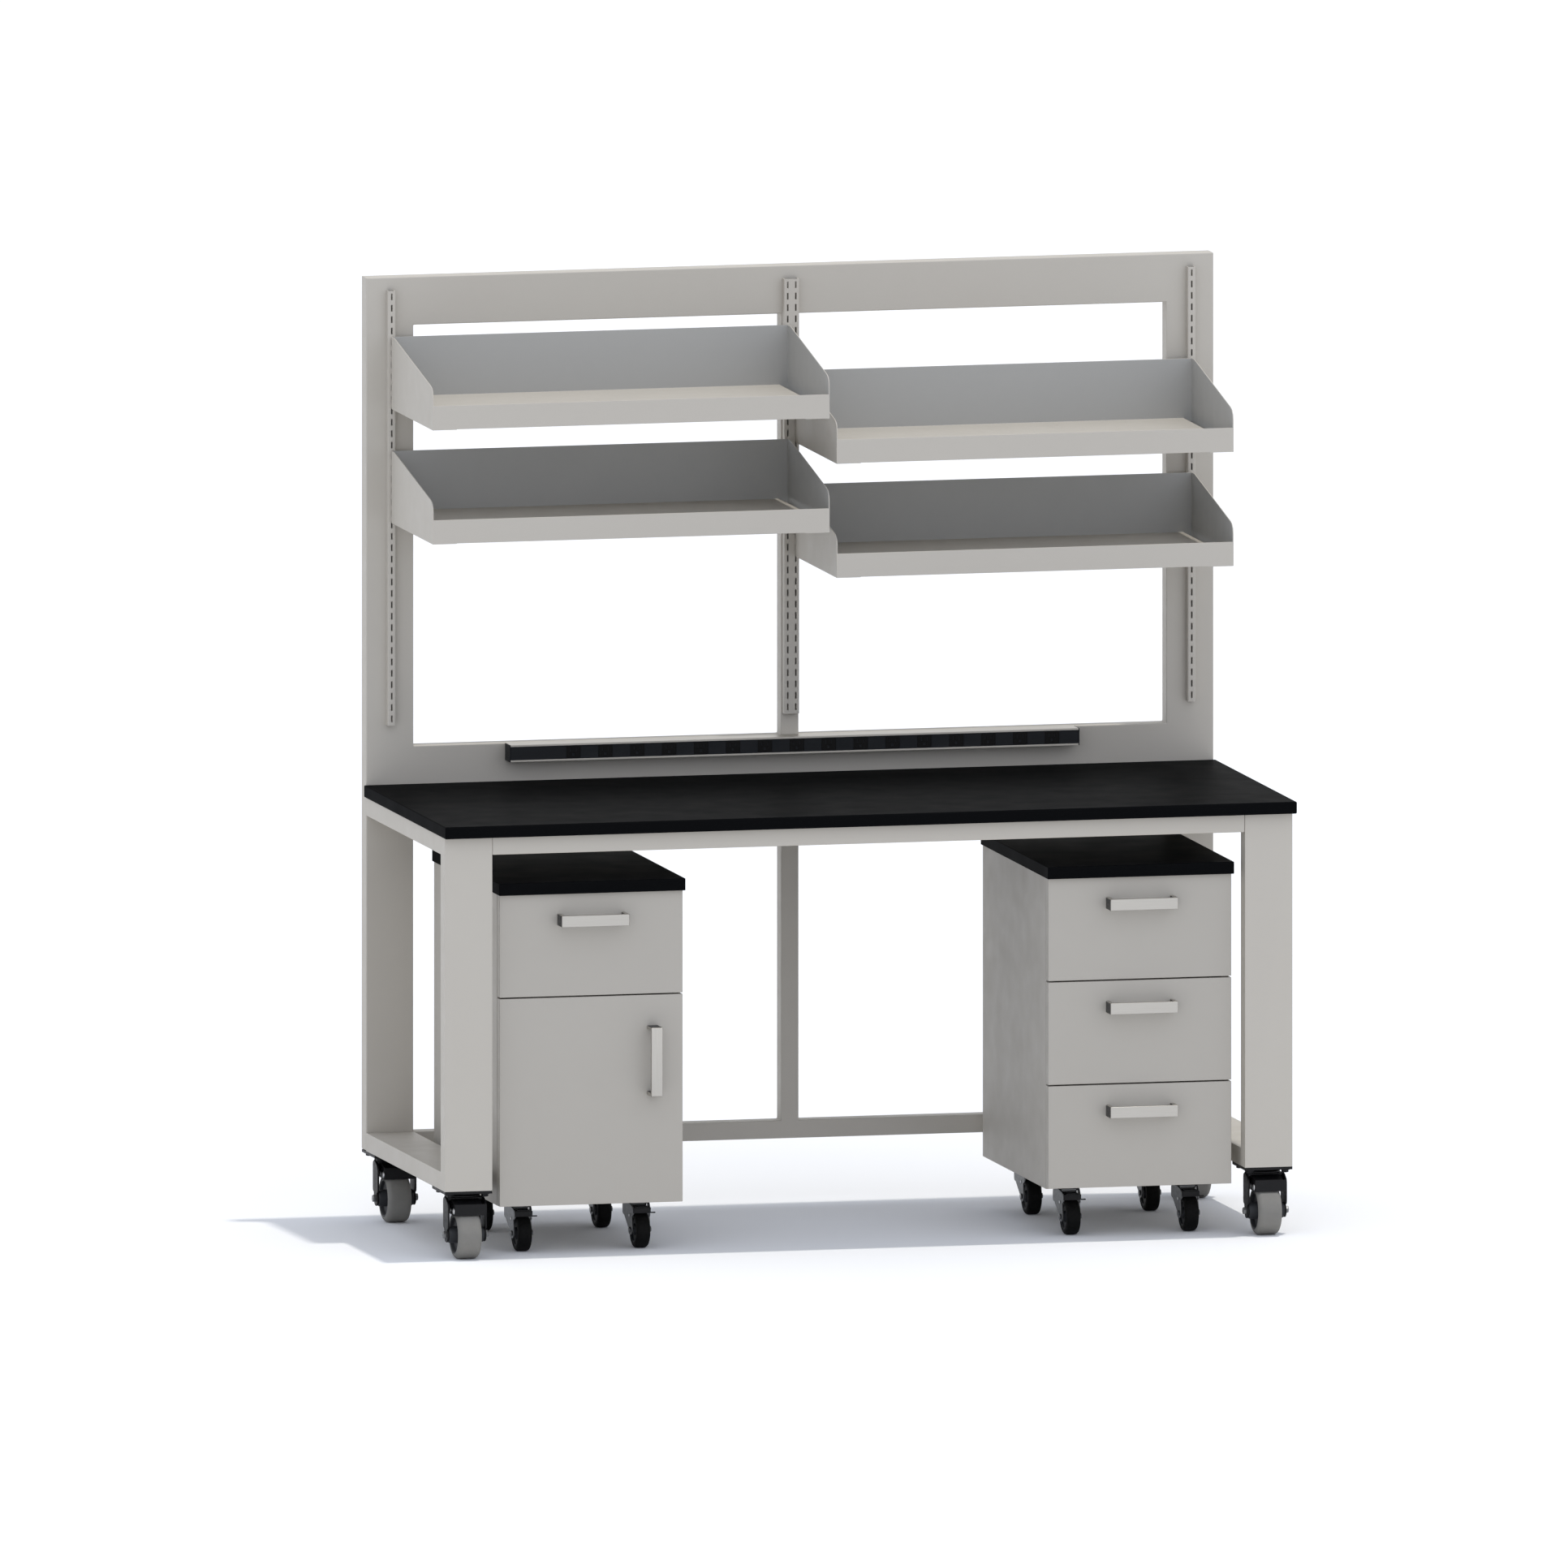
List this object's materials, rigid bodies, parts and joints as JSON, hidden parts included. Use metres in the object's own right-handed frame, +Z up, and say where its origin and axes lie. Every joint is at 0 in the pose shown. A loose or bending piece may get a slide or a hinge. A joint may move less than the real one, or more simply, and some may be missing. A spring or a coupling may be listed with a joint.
{
  "type": "mobile lab bench with reagent shelves",
  "caption": "Mobile steel lab bench with a black worktop, a rear frame carrying sloped-end reagent shelves and a power strip, and wheeled drawer pedestals under the top.",
  "frame": {"origin": "on the floor under the middle of the bench", "axes": "+X along the bench to the user's right, +Y to the rear frame, +Z up"},
  "size_m": [1.8288, 0.762, 1.9812],
  "materials": {
    "grey_paint": "satin powder coat",
    "black_worktop": "matte resin",
    "satin_aluminium": "satin anodised",
    "black_plastic": "moulded",
    "zinc_steel": "zinc plated",
    "black_steel": "black coat",
    "grey_rubber": "grey tread",
    "black_rubber": "black tread"
  },
  "bodies": {
    "bench": {"rear_frame": "grey_paint", "side_frame_left": "grey_paint", "side_frame_right": "grey_paint", "front_apron": "grey_paint", "worktop": "black_worktop", "standard_left": "grey_paint", "standard_centre": "grey_paint", "standard_right": "grey_paint", "shelf_left_upper": "grey_paint", "shelf_left_lower": "grey_paint", "shelf_right_upper": "grey_paint", "shelf_right_lower": "grey_paint", "power_strip_housing": "satin_aluminium", "power_strip_outlets": "black_plastic"},
    "bench_caster_front_left": {"bench_caster_front_left_fork": "black_steel"},
    "bench_caster_front_left_wheel": {"bench_caster_front_left_wheel": "grey_rubber"},
    "bench_caster_front_left_pedal": {"bench_caster_front_left_pedal": "black_steel"},
    "bench_caster_rear_left": {"bench_caster_rear_left_fork": "black_steel"},
    "bench_caster_rear_left_wheel": {"bench_caster_rear_left_wheel": "grey_rubber"},
    "bench_caster_rear_left_pedal": {"bench_caster_rear_left_pedal": "black_steel"},
    "bench_caster_front_right": {"bench_caster_front_right_fork": "black_steel"},
    "bench_caster_front_right_wheel": {"bench_caster_front_right_wheel": "grey_rubber"},
    "bench_caster_front_right_pedal": {"bench_caster_front_right_pedal": "black_steel"},
    "bench_caster_rear_right": {"bench_caster_rear_right_fork": "black_steel"},
    "bench_caster_rear_right_wheel": {"bench_caster_rear_right_wheel": "grey_rubber"},
    "bench_caster_rear_right_pedal": {"bench_caster_rear_right_pedal": "black_steel"},
    "left_pedestal": {"left_pedestal_carcass": "grey_paint", "left_pedestal_top": "black_worktop"},
    "left_drawer_1": {"left_drawer_1": "grey_paint", "left_drawer_1_handle": "satin_aluminium"},
    "left_door": {"left_door": "grey_paint", "left_door_handle": "satin_aluminium"},
    "left_pedestal_caster_front_left": {"left_pedestal_caster_front_left_fork": "zinc_steel"},
    "left_pedestal_caster_front_left_wheel": {"left_pedestal_caster_front_left_wheel": "black_rubber"},
    "left_pedestal_caster_front_left_pedal": {"left_pedestal_caster_front_left_pedal": "black_steel"},
    "left_pedestal_caster_rear_left": {"left_pedestal_caster_rear_left_fork": "zinc_steel"},
    "left_pedestal_caster_rear_left_wheel": {"left_pedestal_caster_rear_left_wheel": "black_rubber"},
    "left_pedestal_caster_front_right": {"left_pedestal_caster_front_right_fork": "zinc_steel"},
    "left_pedestal_caster_front_right_wheel": {"left_pedestal_caster_front_right_wheel": "black_rubber"},
    "left_pedestal_caster_front_right_pedal": {"left_pedestal_caster_front_right_pedal": "black_steel"},
    "left_pedestal_caster_rear_right": {"left_pedestal_caster_rear_right_fork": "zinc_steel"},
    "left_pedestal_caster_rear_right_wheel": {"left_pedestal_caster_rear_right_wheel": "black_rubber"},
    "right_pedestal": {"right_pedestal_carcass": "grey_paint", "right_pedestal_top": "black_worktop"},
    "right_drawer_1": {"right_drawer_1": "grey_paint", "right_drawer_1_handle": "satin_aluminium"},
    "right_drawer_2": {"right_drawer_2": "grey_paint", "right_drawer_2_handle": "satin_aluminium"},
    "right_drawer_3": {"right_drawer_3": "grey_paint", "right_drawer_3_handle": "satin_aluminium"},
    "right_pedestal_caster_front_left": {"right_pedestal_caster_front_left_fork": "zinc_steel"},
    "right_pedestal_caster_front_left_wheel": {"right_pedestal_caster_front_left_wheel": "black_rubber"},
    "right_pedestal_caster_front_left_pedal": {"right_pedestal_caster_front_left_pedal": "black_steel"},
    "right_pedestal_caster_rear_left": {"right_pedestal_caster_rear_left_fork": "zinc_steel"},
    "right_pedestal_caster_rear_left_wheel": {"right_pedestal_caster_rear_left_wheel": "black_rubber"},
    "right_pedestal_caster_front_right": {"right_pedestal_caster_front_right_fork": "zinc_steel"},
    "right_pedestal_caster_front_right_wheel": {"right_pedestal_caster_front_right_wheel": "black_rubber"},
    "right_pedestal_caster_front_right_pedal": {"right_pedestal_caster_front_right_pedal": "black_steel"},
    "right_pedestal_caster_rear_right": {"right_pedestal_caster_rear_right_fork": "zinc_steel"},
    "right_pedestal_caster_rear_right_wheel": {"right_pedestal_caster_rear_right_wheel": "black_rubber"}
  },
  "joints": [
    {"name": "bench_caster_front_left_swivel", "type": "hinge", "parent": "bench", "child": "bench_caster_front_left", "pos_m": [-0.859, -0.30185, 0.1445], "axis": [0, 0, 1], "continuous": true},
    {"name": "bench_caster_front_left_roll", "type": "hinge", "parent": "bench_caster_front_left", "child": "bench_caster_front_left_wheel", "pos_m": [-0.859, -0.32985, 0.0508], "axis": [1, 0, 0], "continuous": true},
    {"name": "bench_caster_front_left_brake", "type": "hinge", "parent": "bench_caster_front_left", "child": "bench_caster_front_left_pedal", "pos_m": [-0.859, -0.33785, 0.1122], "axis": [1, 0, 0], "range_deg": [-10, 0]},
    {"name": "bench_caster_rear_left_swivel", "type": "hinge", "parent": "bench", "child": "bench_caster_rear_left", "pos_m": [-0.859, 0.32385, 0.1445], "axis": [0, 0, 1], "continuous": true},
    {"name": "bench_caster_rear_left_roll", "type": "hinge", "parent": "bench_caster_rear_left", "child": "bench_caster_rear_left_wheel", "pos_m": [-0.859, 0.29585, 0.0508], "axis": [1, 0, 0], "continuous": true},
    {"name": "bench_caster_rear_left_brake", "type": "hinge", "parent": "bench_caster_rear_left", "child": "bench_caster_rear_left_pedal", "pos_m": [-0.859, 0.28785, 0.1122], "axis": [1, 0, 0], "range_deg": [-10, 0]},
    {"name": "bench_caster_front_right_swivel", "type": "hinge", "parent": "bench", "child": "bench_caster_front_right", "pos_m": [0.859, -0.30185, 0.1445], "axis": [0, 0, 1], "continuous": true},
    {"name": "bench_caster_front_right_roll", "type": "hinge", "parent": "bench_caster_front_right", "child": "bench_caster_front_right_wheel", "pos_m": [0.859, -0.32985, 0.0508], "axis": [1, 0, 0], "continuous": true},
    {"name": "bench_caster_front_right_brake", "type": "hinge", "parent": "bench_caster_front_right", "child": "bench_caster_front_right_pedal", "pos_m": [0.859, -0.33785, 0.1122], "axis": [1, 0, 0], "range_deg": [-10, 0]},
    {"name": "bench_caster_rear_right_swivel", "type": "hinge", "parent": "bench", "child": "bench_caster_rear_right", "pos_m": [0.859, 0.32385, 0.1445], "axis": [0, 0, 1], "continuous": true},
    {"name": "bench_caster_rear_right_roll", "type": "hinge", "parent": "bench_caster_rear_right", "child": "bench_caster_rear_right_wheel", "pos_m": [0.859, 0.29585, 0.0508], "axis": [1, 0, 0], "continuous": true},
    {"name": "bench_caster_rear_right_brake", "type": "hinge", "parent": "bench_caster_rear_right", "child": "bench_caster_rear_right_pedal", "pos_m": [0.859, 0.28785, 0.1122], "axis": [1, 0, 0], "range_deg": [-10, 0]},
    {"name": "left_pedestal_roll_out", "type": "slide", "parent": "bench", "child": "left_pedestal", "axis": [0, -1, 0], "range_m": [0, 0.65]},
    {"name": "left_drawer_1_slide", "type": "slide", "parent": "left_pedestal", "child": "left_drawer_1", "axis": [0, -1, 0], "range_m": [0, 0.42]},
    {"name": "left_door_hinge", "type": "hinge", "parent": "left_pedestal", "child": "left_door", "pos_m": [-0.7855, -0.331, 0.32443], "axis": [0, 0, -1], "range_deg": [0, 105]},
    {"name": "left_pedestal_caster_front_left_swivel", "type": "hinge", "parent": "left_pedestal", "child": "left_pedestal_caster_front_left", "pos_m": [-0.716, -0.211, 0.106], "axis": [0, 0, 1], "continuous": true},
    {"name": "left_pedestal_caster_front_left_roll", "type": "hinge", "parent": "left_pedestal_caster_front_left", "child": "left_pedestal_caster_front_left_wheel", "pos_m": [-0.716, -0.237, 0.0381], "axis": [1, 0, 0], "continuous": true},
    {"name": "left_pedestal_caster_front_left_brake", "type": "hinge", "parent": "left_pedestal_caster_front_left", "child": "left_pedestal_caster_front_left_pedal", "pos_m": [-0.716, -0.241, 0.0835], "axis": [1, 0, 0], "range_deg": [-10, 0]},
    {"name": "left_pedestal_caster_rear_left_swivel", "type": "hinge", "parent": "left_pedestal", "child": "left_pedestal_caster_rear_left", "pos_m": [-0.716, 0.134, 0.106], "axis": [0, 0, 1], "continuous": true},
    {"name": "left_pedestal_caster_rear_left_roll", "type": "hinge", "parent": "left_pedestal_caster_rear_left", "child": "left_pedestal_caster_rear_left_wheel", "pos_m": [-0.716, 0.108, 0.0381], "axis": [1, 0, 0], "continuous": true},
    {"name": "left_pedestal_caster_front_right_swivel", "type": "hinge", "parent": "left_pedestal", "child": "left_pedestal_caster_front_right", "pos_m": [-0.462, -0.211, 0.106], "axis": [0, 0, 1], "continuous": true},
    {"name": "left_pedestal_caster_front_right_roll", "type": "hinge", "parent": "left_pedestal_caster_front_right", "child": "left_pedestal_caster_front_right_wheel", "pos_m": [-0.462, -0.237, 0.0381], "axis": [1, 0, 0], "continuous": true},
    {"name": "left_pedestal_caster_front_right_brake", "type": "hinge", "parent": "left_pedestal_caster_front_right", "child": "left_pedestal_caster_front_right_pedal", "pos_m": [-0.462, -0.241, 0.0835], "axis": [1, 0, 0], "range_deg": [-10, 0]},
    {"name": "left_pedestal_caster_rear_right_swivel", "type": "hinge", "parent": "left_pedestal", "child": "left_pedestal_caster_rear_right", "pos_m": [-0.462, 0.134, 0.106], "axis": [0, 0, 1], "continuous": true},
    {"name": "left_pedestal_caster_rear_right_roll", "type": "hinge", "parent": "left_pedestal_caster_rear_right", "child": "left_pedestal_caster_rear_right_wheel", "pos_m": [-0.462, 0.108, 0.0381], "axis": [1, 0, 0], "continuous": true},
    {"name": "right_pedestal_roll_out", "type": "slide", "parent": "bench", "child": "right_pedestal", "axis": [0, -1, 0], "range_m": [0, 0.65]},
    {"name": "right_drawer_1_slide", "type": "slide", "parent": "right_pedestal", "child": "right_drawer_1", "axis": [0, -1, 0], "range_m": [0, 0.42]},
    {"name": "right_drawer_2_slide", "type": "slide", "parent": "right_pedestal", "child": "right_drawer_2", "axis": [0, -1, 0], "range_m": [0, 0.42]},
    {"name": "right_drawer_3_slide", "type": "slide", "parent": "right_pedestal", "child": "right_drawer_3", "axis": [0, -1, 0], "range_m": [0, 0.42]},
    {"name": "right_pedestal_caster_front_left_swivel", "type": "hinge", "parent": "right_pedestal", "child": "right_pedestal_caster_front_left", "pos_m": [0.462, -0.211, 0.106], "axis": [0, 0, 1], "continuous": true},
    {"name": "right_pedestal_caster_front_left_roll", "type": "hinge", "parent": "right_pedestal_caster_front_left", "child": "right_pedestal_caster_front_left_wheel", "pos_m": [0.462, -0.237, 0.0381], "axis": [1, 0, 0], "continuous": true},
    {"name": "right_pedestal_caster_front_left_brake", "type": "hinge", "parent": "right_pedestal_caster_front_left", "child": "right_pedestal_caster_front_left_pedal", "pos_m": [0.462, -0.241, 0.0835], "axis": [1, 0, 0], "range_deg": [-10, 0]},
    {"name": "right_pedestal_caster_rear_left_swivel", "type": "hinge", "parent": "right_pedestal", "child": "right_pedestal_caster_rear_left", "pos_m": [0.462, 0.134, 0.106], "axis": [0, 0, 1], "continuous": true},
    {"name": "right_pedestal_caster_rear_left_roll", "type": "hinge", "parent": "right_pedestal_caster_rear_left", "child": "right_pedestal_caster_rear_left_wheel", "pos_m": [0.462, 0.108, 0.0381], "axis": [1, 0, 0], "continuous": true},
    {"name": "right_pedestal_caster_front_right_swivel", "type": "hinge", "parent": "right_pedestal", "child": "right_pedestal_caster_front_right", "pos_m": [0.716, -0.211, 0.106], "axis": [0, 0, 1], "continuous": true},
    {"name": "right_pedestal_caster_front_right_roll", "type": "hinge", "parent": "right_pedestal_caster_front_right", "child": "right_pedestal_caster_front_right_wheel", "pos_m": [0.716, -0.237, 0.0381], "axis": [1, 0, 0], "continuous": true},
    {"name": "right_pedestal_caster_front_right_brake", "type": "hinge", "parent": "right_pedestal_caster_front_right", "child": "right_pedestal_caster_front_right_pedal", "pos_m": [0.716, -0.241, 0.0835], "axis": [1, 0, 0], "range_deg": [-10, 0]},
    {"name": "right_pedestal_caster_rear_right_swivel", "type": "hinge", "parent": "right_pedestal", "child": "right_pedestal_caster_rear_right", "pos_m": [0.716, 0.134, 0.106], "axis": [0, 0, 1], "continuous": true},
    {"name": "right_pedestal_caster_rear_right_roll", "type": "hinge", "parent": "right_pedestal_caster_rear_right", "child": "right_pedestal_caster_rear_right_wheel", "pos_m": [0.716, 0.108, 0.0381], "axis": [1, 0, 0], "continuous": true}
  ]
}
